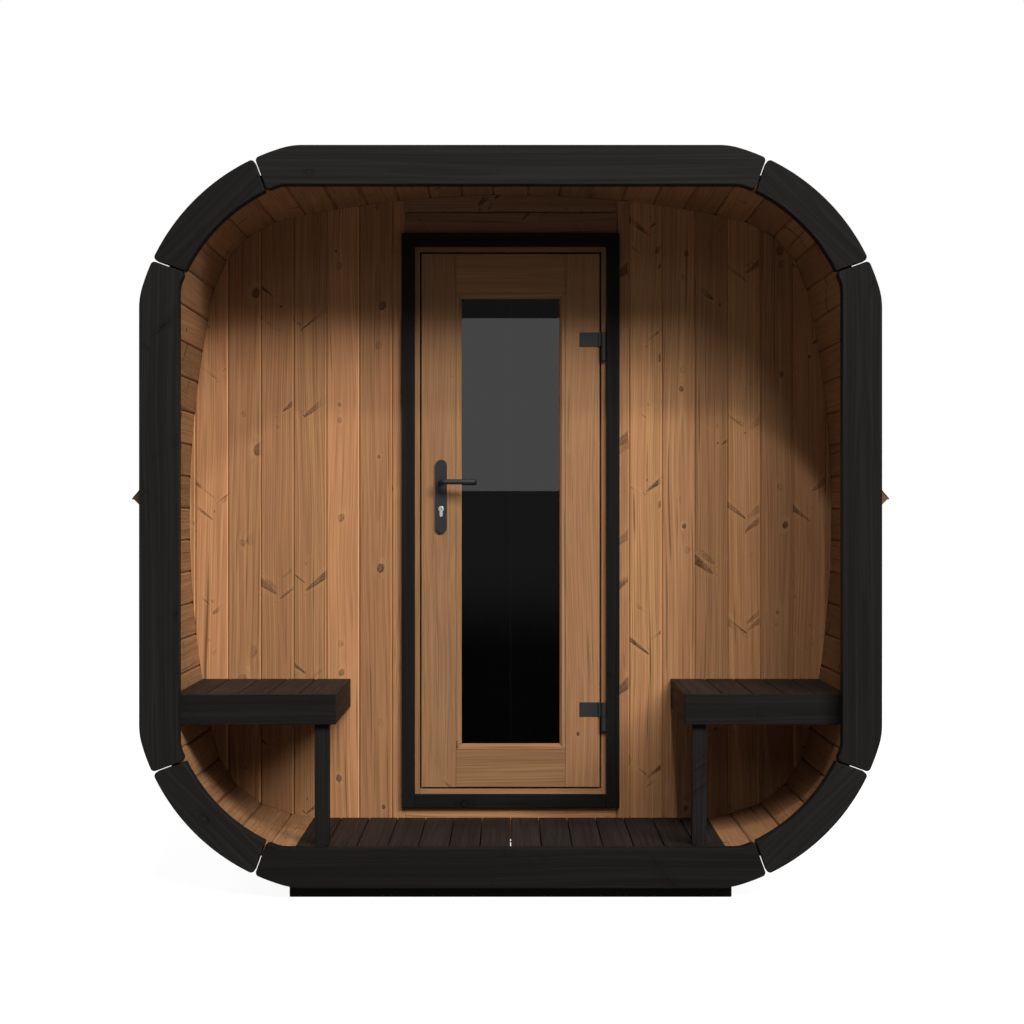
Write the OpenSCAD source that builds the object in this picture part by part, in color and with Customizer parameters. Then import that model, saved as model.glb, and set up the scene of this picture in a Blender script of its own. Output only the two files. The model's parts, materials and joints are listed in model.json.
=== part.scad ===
// Outdoor sauna cabin: a bulged square shell of bevelled staves with an end ring at each face,
// an open porch with two benches, and a glazed door that opens outwards.
// Front is -Y, up is +Z, and the origin is on the ground under the middle of the cabin. Sizes in mm.

/* [Overall] */
// Width and height of the end rings
ring_size = 2060; // [2000:10:2200]
// Depth from the front ring's face to the rear ring's face
cabin_depth = 2200; // [1900:50:3000]
// Depth of the porch, from the front ring's face to the front wall
porch_depth = 600; // [540:10:700]
// Depth from the rear ring's face to the rear wall
rear_inset = 120; // [80:5:250]

/* [Stave shell] */
// How far the shell stays inside the rings' outer edge at the middle of each side
shell_setback = 5; // [5:1:8]
// Thickness of the staves
stave_t = 41; // [35:1:48]
// Outer radius of the bulged sides
side_r = 3252; // [3000:10:4000]
// How much tighter the shell's corners are than the end rings' corners
corner_step = 249; // [200:1:300]
// Width that each stave covers on the inside
stave_w = 96.6; // [85:0.1:120]
// Height of a stave joint above the middle of the sides
joint_rise = 23; // [-30:1:50]
// Bevel on the staves' inner edges
stave_bevel = 5; // [1:0.5:7]
// Gap between neighbouring boards
board_gap = 0.4; // [0.3:0.1:1]

/* [End rings] */
// Width of the ring boards
ring_w = 110; // [100:1:130]
// Thickness of the ring boards
ring_t = 45; // [30:1:60]
// Width of the corner boards
ring_corner_w = 95; // [85:1:105]
// Outer radius of the corner boards
ring_r = 577; // [560:1:600]
// How far a corner board's circle would reach past the straight sides
ring_reach = 16; // [8:1:24]
// Outer radius of the blend between a straight side and the corner's circle
shoulder_r = 200; // [160:5:240]
// Open joint between two ring boards
ring_joint = 4; // [2:0.5:8]
// Rounding of each ring board's corners
ring_round = 12; // [4:1:16]
// Slant of the two joints beside a corner, from square across the straight boards
joint_angle = 20; // [18:0.5:23]
// Distance inside the ring's outer edges at which the lines of these two joints meet
joint_meet = 480; // [470:1:500]

/* [Skids] */
// Height of the shell's lowest line above the ground
skid_rise = 39; // [38:1:120]
// Length of a skid across the cabin
skid_len = 1236; // [900:2:1300]
// Width of a skid along the cabin
skid_w = 70; // [45:5:120]
// Depth of the outer skids behind the ring's outer face
skid_inset = 50; // [50:5:200]

/* [Roof] */
// Thickness of the roof membrane
membrane_t = 3; // [2:0.5:3]
// Side of the square batten that is cut diagonally into two drip battens
batten_side = 40; // [30:1:60]
// Height of the drip battens above the middle of the cabin
batten_rise = 50; // [45:1:150]
// How far the membrane runs past the batten's nose
membrane_lap = 3; // [2:1:20]
// Width of the steel bands
band_w = 20; // [15:1:40]
// Thickness of the steel bands
band_t = 1.2; // [0.8:0.1:1.4]
// Distance of the two inner bands from the middle of the cabin
band_near = 330; // [150:10:450]
// Distance of the two outer bands from the middle of the cabin
band_far = 770; // [600:10:850]

/* [Walls] */
// Thickness of the wall boards
wall_t = 42; // [35:1:50]
// Width that each wall board covers
wall_pitch = 100.5; // [80:0.5:140]
// Distance of the first joint beside the door from the middle of the wall
wall_first = 363.5; // [340:0.5:400]
// Height of the board that lies right above the door frame
header_h = 78.5; // [50:0.5:100]
// Bevel on the wall boards' edges
wall_bevel = 4; // [1:0.5:5]

/* [Doorway] */
// Width of the door leaf
leaf_w = 545; // [480:5:640]
// Space from the leaf's upper edge to the inside of the shell, in the middle
head_space = 181; // [160:1:260]
// Height of the leaf's lower edge above the ground
leaf_foot = 233; // [230:1:280]
// Gap between the leaf and its frame
leaf_gap = 5.5; // [5:0.5:8]
// Gap between the leaf's back and the stops
stop_gap = 5; // [5:0.5:8]
// Width of the frame's boards, seen from the front
jamb_w = 45; // [35:1:60]
// Depth of the frame into the cabin
jamb_d = 95; // [90:1:140]
// How far the stops reach over the leaf
stop_lap = 12; // [8:1:18]
// Width of the black trim
trim_w = 40; // [34:1:48]
// Thickness of the black trim
trim_t = 18; // [12:1:25]
// How far the trim laps over the wall
trim_lap = 10; // [4:1:20]

/* [Door leaf] */
// Thickness of the leaf
leaf_t = 42; // [38:1:50]
// Width of the stiles
stile_w = 105; // [90:1:130]
// Height of the top rail
top_rail_h = 120; // [90:1:160]
// Height of the bottom rail
bottom_rail_h = 115; // [90:1:200]
// Width of the glazing beads
bead_w = 17; // [12:1:25]
// Bevel on the beads beside the glass
bead_bevel = 7.5; // [3:0.5:10]
// How far the beads stay behind the faces of the leaf
bead_recess = 2; // [0:0.5:4]
// Thickness of the glass
glass_t = 8; // [6:1:10]
// Gap between the glass or the beads and the wood
glazing_gap = 0.4; // [0.3:0.1:2]

/* [Hinges] */
// Radius of the hinge barrels
barrel_r = 8; // [7:0.5:8]
// Height of each barrel half
barrel_h = 43; // [35:1:60]
// Radius of the hinge pin
pin_r = 4; // [3:0.5:5]
// Play between pin and barrel
pin_play = 0.05; // [0.02:0.01:0.1]
// Distance of the barrel's axis in front of the leaf's face
hinge_forward = 11; // [11:0.5:13]
// Distance of the barrel's axis from the leaf's edge
hinge_offset = 11.5; // [11:0.5:12]
// Height of the lower hinge above the leaf's foot
hinge_low = 216; // [150:2:300]
// Distance of the upper hinge below the leaf's top
hinge_high = 285; // [150:2:400]
// Length of the flag plate on the leaf
flag_len = 61; // [40:1:80]
// Thickness of the flag plate
flag_t = 3; // [2:0.5:4]
// Thickness of the web that holds the lower barrel on the frame
hinge_web_w = 11; // [8:1:14]

/* [Lever handle] */
// Height of the lever above the leaf's foot
lever_rise = 934.5; // [850:0.5:1050]
// Distance of the lever's axis from the leaf's free edge
backset = 60; // [50:1:70]
// Length of the lever from its axis
lever_len = 106; // [90:1:130]
// Radius of the lever
lever_r = 8; // [7:0.5:10]
// How far the lever stands off the lock plate
lever_reach = 46; // [40:1:60]
// Radius of the lever's bend, at its middle
lever_bend = 14; // [10:1:20]
// Width of the lock plates
plate_w = 35; // [30:1:44]
// Length of the lock plates
plate_len = 224; // [200:1:260]
// Height of the lock plates above the lever's axis
plate_above = 68.5; // [50:0.5:90]
// Thickness of the lock plates
plate_t = 9; // [7:0.5:12]
// Distance from the lever down to the lock cylinder
cylinder_drop = 82; // [72:1:92]
// Height of the lock cylinder's profile
cylinder_h = 33; // [30:1:36]
// How far the lock cylinder stands out of the lock plates
cylinder_proud = 2; // [1:0.5:4]
// Radius of the lever's neck in the lock plate
neck_r = 9; // [8.5:0.5:10]
// Play between the neck and the lock plate
neck_play = 0.08; // [0.03:0.01:0.1]
// How far the neck stands out of the lock plate
neck_proud = 4; // [2:1:8]
// Space round the neck in the wood of the stile
neck_space = 2; // [1:0.5:3]
// Side of the square spindle
spindle = 8; // [7:1:9]

/* [Floors] */
// Height of the deck and the cabin floor above the ground
deck_z = 139.5; // [135:0.5:220]
// Thickness of the deck boards
deck_t = 20; // [18:1:28]
// Width of a deck board
deck_board_w = 83.6; // [70:0.2:140]
// Open gap between deck boards
deck_gap = 2.8; // [2:0.2:6]
// Bevel on the edges of deck boards and slats
deck_bevel = 1.5; // [0.5:0.5:3]
// Width of the joists under the floors
joist_w = 45; // [35:1:60]
// Thinnest end that a joist is cut to
joist_end = 8; // [5:1:15]
// Open gap between the two middle floor staves
drain_gap = 3; // [1:0.5:6]

/* [Benches] */
// Height of the seats above the deck
seat_rise = 425.5; // [380:0.5:480]
// Distance of each bench from the middle of the porch
bench_x = 490; // [440:2:560]
// Depth of the benches behind the front ring's face
bench_inset = 60; // [50:5:90]
// Height of the bench fascias
fascia_h = 84; // [70:1:110]
// Thickness of the bench fascias
fascia_t = 20; // [15:1:28]
// Thickness of the seat slats
slat_t = 27; // [20:1:35]
// Width that each seat slat covers, gap included
slat_pitch = 87.3; // [70:0.1:120]
// Side of the square bench legs
leg_side = 40; // [30:1:60]
// Depth of the bearers under the slats
bearer_h = 42; // [30:1:55]
// Width of the bearers under the slats
bearer_w = 30; // [20:1:45]

/* [Hidden] */
$fn = 48;

// Named clearances
seat_gap = 0.3;
band_play = 0.2;
mitre_gap = 0.3;
lock_gap = 0.5;

// Colours
black_stain = [0.13, 0.13, 0.125];
warm_wood = [0.62, 0.42, 0.27];
door_wood = [0.60, 0.43, 0.32];
dark_deck = [0.20, 0.165, 0.145];
dark_metal = [0.17, 0.175, 0.18];

// Places along the cabin
front_y = -cabin_depth / 2;
rear_y = cabin_depth / 2;
wall_y = front_y + porch_depth;
wall_back_y = wall_y + wall_t;
rear_wall_out = rear_y - rear_inset;
rear_wall_y = rear_wall_out - wall_t;
stave_y0 = front_y + ring_t + seat_gap;
stave_y1 = rear_y - ring_t - seat_gap;

// Shell section, measured from the axis of the cabin
shell_half = ring_size / 2 - shell_setback;
axis_z = skid_rise + shell_half;
side_c = side_r - shell_half;
corner_r = ring_r - corner_step;
radius_step = side_r - corner_r;
corner_c = (sqrt(2 * radius_step * radius_step - side_c * side_c) - side_c) / 2;
side_angle = asin(corner_c / radius_step);
side_ri = side_r - stave_t;
corner_ri = corner_r - stave_t;
half_side_len = side_ri * side_angle * PI / 180;
corner_len = corner_ri * (90 - 2 * side_angle) * PI / 180;
quarter_len = 2 * half_side_len + corner_len;
half_len = 2 * quarter_len;

// Staves are laid upwards from the lowest line, where the first is cut to fit, and one more closes the roof
least_stave = 30;
staves_below = floor((quarter_len + joint_rise - least_stave) / stave_w);
first_joint = quarter_len + joint_rise - staves_below * stave_w;
half_joints = 1 + floor((half_len - least_stave / 2 - first_joint) / stave_w);
stave_count = 2 * half_joints + 1;

// Distance of joint i from the lowest line round the inside, over the right side, the roof and the left side
function joint_at(i) =
    i == 0 ? 0
    : i <= half_joints ? first_joint + (i - 1) * stave_w
    : 2 * half_len - joint_at(stave_count - i);

// Centre, inner radius and angle of the section at a distance along the inside of one quarter
function quarter_state(t) =
    t < half_side_len
        ? [[0, side_c], side_ri, -90 + t / side_ri * 180 / PI]
    : t < half_side_len + corner_len
        ? [[corner_c, -corner_c], corner_ri, -90 + side_angle + (t - half_side_len) / corner_ri * 180 / PI]
        : [[-side_c, 0], side_ri, -side_angle + (t - half_side_len - corner_len) / side_ri * 180 / PI];

function turned(p, a) = [p.x * cos(a) - p.y * sin(a), p.x * sin(a) + p.y * cos(a)];

// Point of the section at a distance s round the inside from the lowest line, and a height out of it
function shell_point(s, out) =
    let (quarter = floor(s / quarter_len))
    let (state = quarter_state(s - quarter * quarter_len))
    let (reach = state[1] + out)
    turned(state[0] + reach * [cos(state[2]), sin(state[2])], 90 * quarter);

// Closed outline through all the stave joints, at a height out of the inner face
function shell_outline(out) = [for (i = [0:stave_count - 1]) shell_point(joint_at(i), out)];

// Cross-section of stave i, counted from the lowest line towards +X, with its two bevelled inner edges
function stave_section(i) =
    let (s0 = joint_at(i) + (i == 0 ? drain_gap : board_gap) / 2)
    let (s1 = joint_at(i + 1) - (i == stave_count - 1 ? drain_gap : board_gap) / 2)
    [
        shell_point(s0 + stave_bevel, 0), shell_point(s1 - stave_bevel, 0), shell_point(s1, stave_bevel),
        shell_point(s1, stave_t), shell_point(s0, stave_t), shell_point(s0, stave_bevel)
    ];

// Half width of the inside of the shell at a height above the ground, on its lower side
function floor_half_width(z) = sqrt(side_ri * side_ri - pow(side_c + axis_z - z, 2));

// Draws a shape of the XZ plane as a prism from y0 to y1
module along_y(y0, y1) {
    translate([0, y1, 0])
        rotate([90, 0, 0])
            linear_extrude(y1 - y0) children();
}

// Draws a shape of the YZ plane as a prism from x0 to x1
module along_x(x0, x1) {
    translate([x0, 0, 0])
        rotate([90, 0, 90])
            linear_extrude(x1 - x0) children();
}

// The inside of the shell as a flat shape in the XZ plane
module shell_inside() {
    translate([0, axis_z]) polygon(shell_outline(-seat_gap));
}

// A rectangle with its two upper corners bevelled
module bevelled_top(x0, x1, z0, z1, bevel) {
    polygon([[x0, z0], [x1, z0], [x1, z1 - bevel], [x1 - bevel, z1], [x0 + bevel, z1], [x0, z1 - bevel]]);
}

// A rectangle with all four corners bevelled
module bevelled_section(x0, x1, y0, y1, bevel) {
    polygon([
        [x0 + bevel, y0], [x1 - bevel, y0], [x1, y0 + bevel], [x1, y1 - bevel],
        [x1 - bevel, y1], [x0 + bevel, y1], [x0, y1 - bevel], [x0, y0 + bevel]
    ]);
}

module stave(i) {
    along_y(stave_y0, stave_y1)
        translate([0, axis_z])
            polygon(stave_section(i));
}

// Place of a stave's middle, counted from where its quarter's side begins
function stave_place(i) = (joint_at(i) + joint_at(i + 1)) / 2 + half_side_len;

function on_corner(i) = stave_place(i) % quarter_len > 2 * half_side_len;

// The staves of one side, where side 0 is the floor, 1 the right, 2 the roof and 3 the left
module side_of_staves(side) {
    for (i = [0:stave_count - 1])
        if (!on_corner(i) && floor(stave_place(i) / quarter_len) % 4 == side)
            stave(i);
}

module staves_floor() {
    color(warm_wood) side_of_staves(0);
}

module staves_right() {
    color(warm_wood) side_of_staves(1);
}

module staves_roof() {
    color(warm_wood) side_of_staves(2);
}

module staves_left() {
    color(warm_wood) side_of_staves(3);
}

module staves_corners() {
    color(warm_wood)
        for (i = [0:stave_count - 1])
            if (on_corner(i))
                stave(i);
}

// Transverse skid whose top is cut to the underside of the shell
module skid(y_middle) {
    along_y(y_middle - skid_w / 2, y_middle + skid_w / 2)
        difference() {
            translate([-skid_len / 2, 0]) square([skid_len, skid_end_h]);
            translate([0, axis_z]) polygon(shell_outline(stave_t + seat_gap));
        }
}

// Height of the skids' ends, where the shell passes over them
skid_end_h = axis_z + side_c - sqrt(pow(side_r, 2) - pow(skid_len / 2, 2));

module skids() {
    color(black_stain) {
        skid(front_y + skid_inset + skid_w / 2);
        skid(0);
        skid(rear_y - skid_inset - skid_w / 2);
    }
}

// How far a rounding reaches past the faces that it joins, so that they cross and don't just touch
round_bite = 0.1;

// The corner circles' centre, and where the lines of a corner's two joints meet, from the ring's middle
ring_half = ring_size / 2;
ring_c = ring_half + ring_reach - ring_r;
joint_c = ring_half - joint_meet;
joint_dir = [sin(joint_angle), cos(joint_angle)];
ring_arc_step = 1.5;

function arc_points(centre, r, from, to) =
    let (steps = ceil((to - from) / ring_arc_step))
    [for (i = [0:steps]) let (a = from + (to - from) * i / steps) centre + r * [sin(a), cos(a)]];

function reversed(points) = [for (i = [len(points) - 1:-1:0]) points[i]];

// One eighth of the outline: the blend beside the top side, and the corner's circle as far as the diagonal
function ring_eighth(half, r, blend) =
    let (turn = acos((half - ring_c - blend) / (r - blend)))
    concat(
        arc_points([ring_c + (r - blend) * sin(turn), half - blend], blend, 0, turn),
        arc_points([ring_c, ring_c], r, turn + ring_arc_step, 45)
    );

outer_eighth = ring_eighth(ring_half, ring_r, shoulder_r);
inner_eighth = ring_eighth(ring_half - ring_w, ring_r - ring_corner_w, shoulder_r - ring_w);

// What an open joint and the roundings beside it take out of the ring, drawn along +X from where the lines meet
module ring_joint_cut() {
    centre = (ring_c - joint_c) * [joint_dir.x + joint_dir.y, joint_dir.x - joint_dir.y];
    far = 2 * ring_r;
    edge = ring_joint / 2;
    out_r = ring_r - ring_round + round_bite;
    in_r = ring_r - ring_corner_w + ring_round - round_bite;
    translate([0, -edge]) square([far, ring_joint]);
    for (side = [-1, 1]) {
        v = side * (edge + ring_round - round_bite);
        u_out = centre.x + sqrt(pow(out_r, 2) - pow(v - centre.y, 2));
        u_in = centre.x + sqrt(pow(in_r, 2) - pow(v - centre.y, 2));
        difference() {
            polygon([[u_out, v], [u_out, 0], [far, 0], centre + ([u_out, v] - centre) * far / out_r]);
            translate([u_out, v]) circle(ring_round);
        }
        difference() {
            polygon([[u_in, v], centre + ([u_in, v] - centre) / 2, [u_in / 2, 0], [u_in, 0]]);
            translate([u_in, v]) circle(ring_round);
        }
    }
}

module placed_joint_cut() {
    translate([joint_c, joint_c]) rotate(90 - joint_angle) ring_joint_cut();
}

// The board of a straight side, with the shoulders at its ends
module ring_side_board() {
    far = 2 * ring_r;
    outer = concat([for (p = reversed(outer_eighth)) [-p.x, p.y]], outer_eighth);
    inner = concat([for (p = reversed(inner_eighth)) [-p.x, p.y]], inner_eighth);
    difference() {
        intersection() {
            polygon(concat(outer, reversed(inner)));
            polygon([
                [-joint_c, joint_c], [-joint_c, joint_c] + far * [-joint_dir.x, joint_dir.y],
                [joint_c, joint_c] + far * joint_dir, [joint_c, joint_c]
            ]);
        }
        placed_joint_cut();
        mirror([1, 0]) placed_joint_cut();
    }
}

// The board of a corner
module ring_corner_board() {
    far = 2 * ring_r;
    outer = concat(outer_eighth, [for (p = reversed(outer_eighth)) [p.y, p.x]]);
    inner = concat(inner_eighth, [for (p = reversed(inner_eighth)) [p.y, p.x]]);
    difference() {
        intersection() {
            polygon(concat(outer, reversed(inner)));
            polygon([
                [joint_c, joint_c], [joint_c, joint_c] + far * joint_dir,
                [joint_c, joint_c] + far * [joint_dir.y, joint_dir.x]
            ]);
        }
        placed_joint_cut();
        mirror([1, -1]) placed_joint_cut();
    }
}

// One ring board: side 0 is the top, 1 the left, 2 the bottom and 3 the right; corners follow their side
module ring_board(side, corner) {
    translate([0, axis_z])
        rotate(90 * side)
            if (corner)
                ring_corner_board();
            else
                ring_side_board();
}

module front_ring_board(side, corner) {
    color(black_stain)
        along_y(front_y, front_y + ring_t) ring_board(side, corner);
}

module rear_ring_board(side, corner) {
    color(black_stain)
        along_y(rear_y - ring_t, rear_y) ring_board(side, corner);
}

module front_ring_top() {
    front_ring_board(0, false);
}

module front_ring_left() {
    front_ring_board(1, false);
}

module front_ring_bottom() {
    front_ring_board(2, false);
}

module front_ring_right() {
    front_ring_board(3, false);
}

module front_ring_corners() {
    for (side = [0:3]) front_ring_board(side, true);
}

module rear_ring_sides() {
    for (side = [0:3]) rear_ring_board(side, false);
}

module rear_ring_corners() {
    for (side = [0:3]) rear_ring_board(side, true);
}

// Roof covering and what holds it
band_out = stave_t + band_play + band_t;
membrane_in = band_out + band_play;
batten_half = batten_side / sqrt(2);
batten_x = shell_half + band_play + band_t + band_play;

module shell_band(y_middle) {
    along_y(y_middle - band_w / 2, y_middle + band_w / 2)
        translate([0, axis_z])
            difference() {
                polygon(shell_outline(band_out));
                polygon(shell_outline(stave_t + band_play));
            }
}

// The bands lie between the skids
module shell_bands() {
    color("silver")
        for (y = [-band_far, -band_near, band_near, band_far])
            shell_band(y);
}

// The membrane's lower or upper outline: down the right batten to its nose, and over the roof to the left
function membrane_line(lift) =
    let (rise = (seat_gap + lift) * sqrt(2))
    let (nose = [batten_x + batten_half + membrane_lap, batten_rise - membrane_lap + rise])
    let (root = [batten_x + lift, batten_rise + batten_half + rise - lift])
    let (low = quarter_len + root.y)
    concat(
        [nose, root],
        [
            for (i = [0:stave_count - 1])
                let (s = joint_at(i))
                if (s > low && s < 2 * half_len - low) shell_point(s, membrane_in + lift)
        ],
        [[-root.x, root.y], [-nose.x, nose.y]]
    );

module roof_membrane() {
    lower = membrane_line(0);
    upper = membrane_line(membrane_t);
    color(black_stain)
        along_y(stave_y0, stave_y1)
            translate([0, axis_z])
                polygon(concat(lower, [for (i = [len(upper) - 1:-1:0]) upper[i]]));
}

module drip_battens() {
    color(warm_wood)
        for (side = [0, 1])
            mirror([side, 0, 0])
                along_y(stave_y0, stave_y1)
                    translate([batten_x, axis_z + batten_rise])
                        polygon([[0, -batten_half], [batten_half, 0], [0, batten_half]]);
}

// Doorway, measured from the leaf outwards
leaf_x = leaf_w / 2;
leaf_top = axis_z + shell_half - stave_t - head_space;
leaf_h = leaf_top - leaf_foot;
reveal_x = leaf_x + leaf_gap;
reveal_foot = leaf_foot - leaf_gap;
reveal_top = leaf_top + leaf_gap;
frame_x = reveal_x + jamb_w;
frame_foot = reveal_foot - jamb_w;
frame_top = reveal_top + jamb_w;
rough_x = frame_x + seat_gap;

// A vertical wall board between two heights, cut to the inside of the shell
module wall_board(x0, x1, y0) {
    intersection() {
        linear_extrude(ring_size + skid_rise)
            bevelled_section(x0 + board_gap / 2, x1 - board_gap / 2, y0, y0 + wall_t, wall_bevel);
        along_y(y0 - 1, y0 + wall_t + 1) shell_inside();
    }
}

// Boards from the doorway outwards, where the first one is cut narrow
module wall_side(y0) {
    widest = shell_half - stave_t;
    wall_board(rough_x - board_gap / 2, wall_first, y0);
    for (x = [wall_first:wall_pitch:widest])
        wall_board(x, min(x + wall_pitch, shell_half), y0);
}

module front_wall_right() {
    color(warm_wood) wall_side(wall_y);
}

module front_wall_left() {
    color(warm_wood) mirror([1, 0, 0]) wall_side(wall_y);
}

// A horizontal board between the two sides of the front wall
module wall_cross_board(z0, z1) {
    intersection() {
        along_x(-rough_x, rough_x)
            bevelled_section(wall_y, wall_back_y, z0 + board_gap / 2, z1 - board_gap / 2, wall_bevel);
        along_y(wall_y - 1, wall_back_y + 1) shell_inside();
    }
}

header_split = frame_top + header_h;

module front_wall_header() {
    color(warm_wood) {
        wall_cross_board(frame_top + seat_gap, header_split);
        wall_cross_board(header_split, axis_z + shell_half);
    }
}

module front_wall_sill() {
    color(warm_wood) wall_cross_board(axis_z - shell_half, frame_foot - seat_gap);
}

module back_wall() {
    half_count = ceil((shell_half - stave_t) / wall_pitch);
    color(warm_wood)
        for (i = [-half_count:half_count - 1])
            wall_board(
                max(i * wall_pitch, -shell_half),
                min((i + 1) * wall_pitch, shell_half),
                rear_wall_y
            );
}

// A picture frame of four separate bars with butt joints: the upright bars run the full height
module bar_frame(x_out, foot, top, w, y0, y1) {
    for (side = [0, 1])
        mirror([side, 0, 0])
            translate([x_out - w, y0, foot]) cube([w, y1 - y0, top - foot]);
    for (z = [foot, top - w])
        translate([-x_out + w + mitre_gap, y0, z]) cube([2 * (x_out - w - mitre_gap), y1 - y0, w]);
}

// The frame's lining boards and, behind the leaf, the stops that it closes against
module door_frame() {
    stop_y = wall_y + leaf_t + stop_gap;
    color(door_wood) {
        bar_frame(frame_x, frame_foot, frame_top, jamb_w, wall_y, wall_y + jamb_d);
        bar_frame(
            reveal_x - mitre_gap, reveal_foot + mitre_gap, reveal_top - mitre_gap,
            stop_lap + leaf_gap, stop_y, wall_y + jamb_d
        );
    }
}

module door_trim() {
    color(black_stain)
        bar_frame(
            frame_x + trim_lap, frame_foot - trim_lap, frame_top + trim_lap,
            trim_w, wall_y - seat_gap - trim_t, wall_y - seat_gap
        );
}

// A floor board clipped to the shell, between two depths
module floor_board(x0, x1, y0, y1) {
    along_y(y0, y1)
        intersection() {
            bevelled_top(x0, x1, deck_z - deck_t, deck_z, deck_bevel);
            shell_inside();
        }
}

module floor_boards(y0, y1) {
    pitch = deck_board_w + deck_gap;
    count = floor(floor_half_width(deck_z - deck_bevel) / pitch);
    for (i = [-count:count - 1])
        floor_board(i * pitch + deck_gap / 2, (i + 1) * pitch - deck_gap / 2, y0, y1);
}

module porch_deck() {
    color(dark_deck) floor_boards(front_y + ring_t + seat_gap, wall_y - seat_gap);
}

module cabin_floor() {
    color(warm_wood) floor_boards(wall_back_y + seat_gap, rear_wall_y - seat_gap);
}

// A transverse joist that fills the space between the floor boards and the shell
module floor_joist(y0) {
    joist_z = deck_z - deck_t - seat_gap;
    half = floor_half_width(joist_z - joist_end);
    along_y(y0, y0 + joist_w)
        intersection() {
            translate([-half, 0]) square([2 * half, joist_z]);
            shell_inside();
        }
}

module floor_joists() {
    porch_front = front_y + ring_t + joist_w;
    cabin_front = wall_back_y + seat_gap;
    cabin_rear = rear_wall_y - seat_gap - joist_w;
    color(warm_wood) {
        floor_joist(porch_front);
        floor_joist(wall_y - joist_w - seat_gap);
        floor_joist(cabin_front);
        floor_joist((cabin_front + cabin_rear) / 2);
        floor_joist(cabin_rear);
    }
}

// Benches, drawn on the right side and mirrored to the left
seat_z = deck_z + seat_rise;
bench_y0 = front_y + bench_inset;
bench_y1 = wall_y - seat_gap;
slat_x0 = bench_x + fascia_t + seat_gap;
slat_y0 = bench_y0 + fascia_t + seat_gap;

module bench_slats() {
    count = ceil((shell_half - stave_t - slat_x0) / slat_pitch);
    along_y(slat_y0, bench_y1)
        intersection() {
            for (i = [0:count - 1])
                bevelled_top(
                    slat_x0 + i * slat_pitch, slat_x0 + (i + 1) * slat_pitch - deck_gap,
                    seat_z - slat_t, seat_z, deck_bevel
                );
            shell_inside();
        }
}

// A board across the bench from x0 to the shell, between two depths and heights
module bench_cross_board(x0, y0, y1, z0, z1) {
    along_y(y0, y1)
        intersection() {
            translate([x0, z0]) square([shell_half, z1 - z0]);
            shell_inside();
        }
}

module bench_frame() {
    bearer_top = seat_z - slat_t - seat_gap;
    bearer_foot = bearer_top - bearer_h;
    bench_cross_board(bench_x, bench_y0, bench_y0 + fascia_t, seat_z - fascia_h, seat_z);
    translate([bench_x, slat_y0, seat_z - fascia_h]) cube([fascia_t, bench_y1 - slat_y0, fascia_h]);
    bench_cross_board(slat_x0 + leg_side + seat_gap, slat_y0, slat_y0 + bearer_w, bearer_foot, bearer_top);
    bench_cross_board(slat_x0, bench_y1 - bearer_w, bench_y1, bearer_foot, bearer_top);
}

module bench_leg() {
    translate([slat_x0, slat_y0, deck_z + seat_gap])
        cube([leg_side, leg_side, seat_rise - slat_t - 2 * seat_gap]);
}

module bench_right_slats() {
    color(dark_deck) bench_slats();
}

module bench_left_slats() {
    color(dark_deck) mirror([1, 0, 0]) bench_slats();
}

module bench_right_frame() {
    color(black_stain) bench_frame();
}

module bench_left_frame() {
    color(black_stain) mirror([1, 0, 0]) bench_frame();
}

module bench_legs() {
    color(black_stain) {
        bench_leg();
        mirror([1, 0, 0]) bench_leg();
    }
}

// Door leaf
leaf_y0 = wall_y;
leaf_y1 = wall_y + leaf_t;
light_x = leaf_x - stile_w;
light_foot = leaf_foot + bottom_rail_h;
light_top = leaf_top - top_rail_h;
glass_y0 = (leaf_y0 + leaf_y1 - glass_t) / 2;
glass_y1 = glass_y0 + glass_t;
lever_x = -leaf_x + backset;
lever_z = leaf_foot + lever_rise;
cylinder_z = lever_z - cylinder_drop;

// The outline of a profile lock cylinder round its key, grown by a clearance
module cylinder_outline(grow) {
    key_r = 8.5;
    web_w = 10;
    foot_z = key_r - cylinder_h + web_w / 2;
    circle(key_r + grow);
    translate([-web_w / 2 - grow, foot_z]) square([web_w + 2 * grow, -foot_z]);
    translate([0, foot_z]) circle(web_w / 2 + grow);
}

module door_stile_right() {
    color(door_wood)
        translate([light_x, leaf_y0, leaf_foot]) cube([stile_w, leaf_t, leaf_h]);
}

module door_stile_left() {
    color(door_wood)
        difference() {
            translate([-leaf_x, leaf_y0, leaf_foot]) cube([stile_w, leaf_t, leaf_h]);
            translate([lever_x, leaf_y0 - 1, lever_z])
                rotate([-90, 0, 0]) cylinder(r = neck_r + neck_space, h = leaf_t + 2);
            along_y(leaf_y0 - 1, leaf_y1 + 1)
                translate([lever_x, cylinder_z]) cylinder_outline(lock_gap);
        }
}

module door_rail(z, h) {
    color(door_wood)
        translate([-light_x + mitre_gap, leaf_y0, z]) cube([2 * (light_x - mitre_gap), leaf_t, h]);
}

module door_rail_bottom() {
    door_rail(leaf_foot, bottom_rail_h);
}

module door_rail_top() {
    door_rail(light_top, top_rail_h);
}

module door_glass() {
    color([0.1, 0.11, 0.11, 0.6])
        translate([-light_x + glazing_gap, glass_y0, light_foot + glazing_gap])
            cube([2 * (light_x - glazing_gap), glass_t, light_top - light_foot - 2 * glazing_gap]);
}

// Cross-section of a bead that runs along X: outer edge at z 0, its face bevelled towards the glass at y 0
module bead_section(depth) {
    polygon([[0, 0], [-depth, 0], [-depth, bead_w - bead_bevel], [-depth + bead_bevel, bead_w], [0, bead_w]]);
}

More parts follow.
